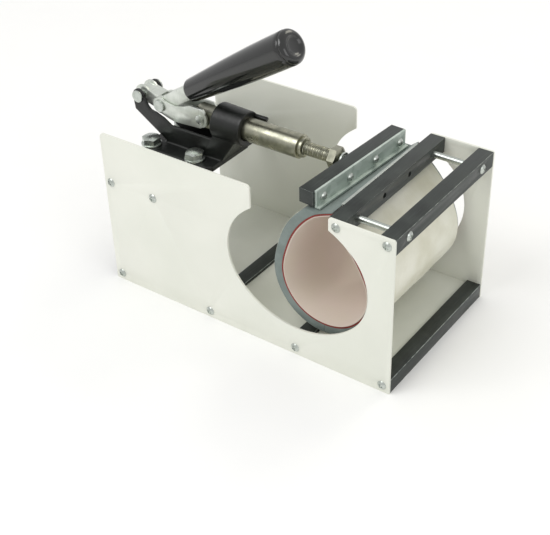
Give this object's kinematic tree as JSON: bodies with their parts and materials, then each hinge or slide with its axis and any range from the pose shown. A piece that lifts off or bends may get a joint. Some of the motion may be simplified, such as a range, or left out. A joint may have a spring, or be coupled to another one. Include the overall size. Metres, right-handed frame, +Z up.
{
  "type": "mug heat press",
  "caption": "Bench press for mugs: an open box frame with oval side cutouts, a wrap-around heater loop, and a push-pull toggle clamp that pulls the loop tight.",
  "frame": {"origin": "centre of the object's box at the level of the surface it stands on", "axes": "+X along the side panels from the handle end to the mug column, +Y from the front panel to the rear panel along the mug, +Z up"},
  "size_m": [0.3252, 0.1674, 0.2544],
  "materials": {
    "panel_paint": "warm white powder coat on sheet steel, fine satin texture",
    "bar_black": "black oxide on square steel bar, satin",
    "cast_black": "black paint over a cast steel body, semi-gloss",
    "zinc_plate": "bright zinc plate on pressed and turned steel",
    "plunger_steel": "turned steel, slightly yellow passivated",
    "galvanised": "galvanised angle, dull grey",
    "sponge": "grey silicone sponge, matt, fine closed cells",
    "silicone_red": "red silicone rubber sheet, matt",
    "liner": "beige coated glass cloth, smooth",
    "cover": "cream coated glass cloth, slight sheen",
    "element_foil": "etched resistance foil",
    "grip_black": "gloss black dipped grip"
  },
  "bodies": {
    "frame": {"front_panel": "panel_paint", "rear_panel": "panel_paint", "base_bar_1": "bar_black", "base_bar_2": "bar_black", "base_bar_3": "bar_black", "base_bar_4": "bar_black", "deck_bar_1": "bar_black", "deck_bar_2": "bar_black", "column_bar_inner": "bar_black", "column_bar_outer": "bar_black", "floor_cover_1": "panel_paint", "floor_cover_2": "panel_paint", "floor_cover_3": "panel_paint", "panel_screws_front": "zinc_plate", "panel_screws_rear": "zinc_plate", "tie_rod_front": "zinc_plate", "tie_rod_rear": "zinc_plate", "blanket_strip": "zinc_plate", "strip_screws": "zinc_plate", "clamp_body": "cast_black", "clamp_bolts": "zinc_plate", "clamp_washers": "zinc_plate", "stop_pin": "cast_black", "handle_rivet": "zinc_plate", "outer_cover_fixed": "cover", "insulation_fixed": "sponge", "heating_blanket_fixed": "silicone_red", "heating_element_fixed": "element_foil", "liner_fixed": "liner", "thermocouple": "plunger_steel"},
    "handle": {"handle_lever": "zinc_plate", "handle_grip": "grip_black", "link_rivet": "zinc_plate"},
    "link": {"link_front": "zinc_plate", "link_rear": "zinc_plate", "link_end_rivets": "zinc_plate"},
    "ram": {"plunger_sleeve": "plunger_steel", "plunger_pin": "zinc_plate", "press_bar": "bar_black", "clamp_angle": "galvanised", "angle_screws": "zinc_plate", "bar_stud": "zinc_plate", "stud_washer": "zinc_plate", "spindle_collar": "plunger_steel", "outer_cover_moving": "cover", "insulation_moving": "sponge", "heating_blanket_moving": "silicone_red", "heating_element_moving": "element_foil", "liner_moving": "liner"},
    "spindle": {"spindle": "plunger_steel"}
  },
  "joints": [
    {"name": "handle_hinge", "type": "hinge", "parent": "frame", "child": "handle", "pos_m": [-0.1541, 0, 0.1575], "axis": [0, -1, 0], "range_deg": [0, 110]},
    {"name": "link_pivot", "type": "hinge", "parent": "handle", "child": "link", "pos_m": [-0.1316, 0, 0.1525], "axis": [0, 1, 0], "range_deg": [0, 146.8]},
    {"name": "ram_slide", "type": "slide", "parent": "frame", "child": "ram", "axis": [-1, 0, 0], "range_m": [0, 0.03545], "deforming": ["outer_cover_moving", "insulation_moving", "heating_blanket_moving", "heating_element_moving", "liner_moving"]},
    {"name": "spindle_turn", "type": "hinge", "parent": "ram", "child": "spindle", "pos_m": [0.0464, 0, 0.1515], "axis": [1, 0, 0], "range_deg": [-360, 360]}
  ],
  "couplings": [
    {"joint": "link_pivot", "follows": "handle_hinge", "ratio": 1.3332},
    {"joint": "ram_slide", "follows": "handle_hinge", "m_per_rad": 0.018431}
  ]
}
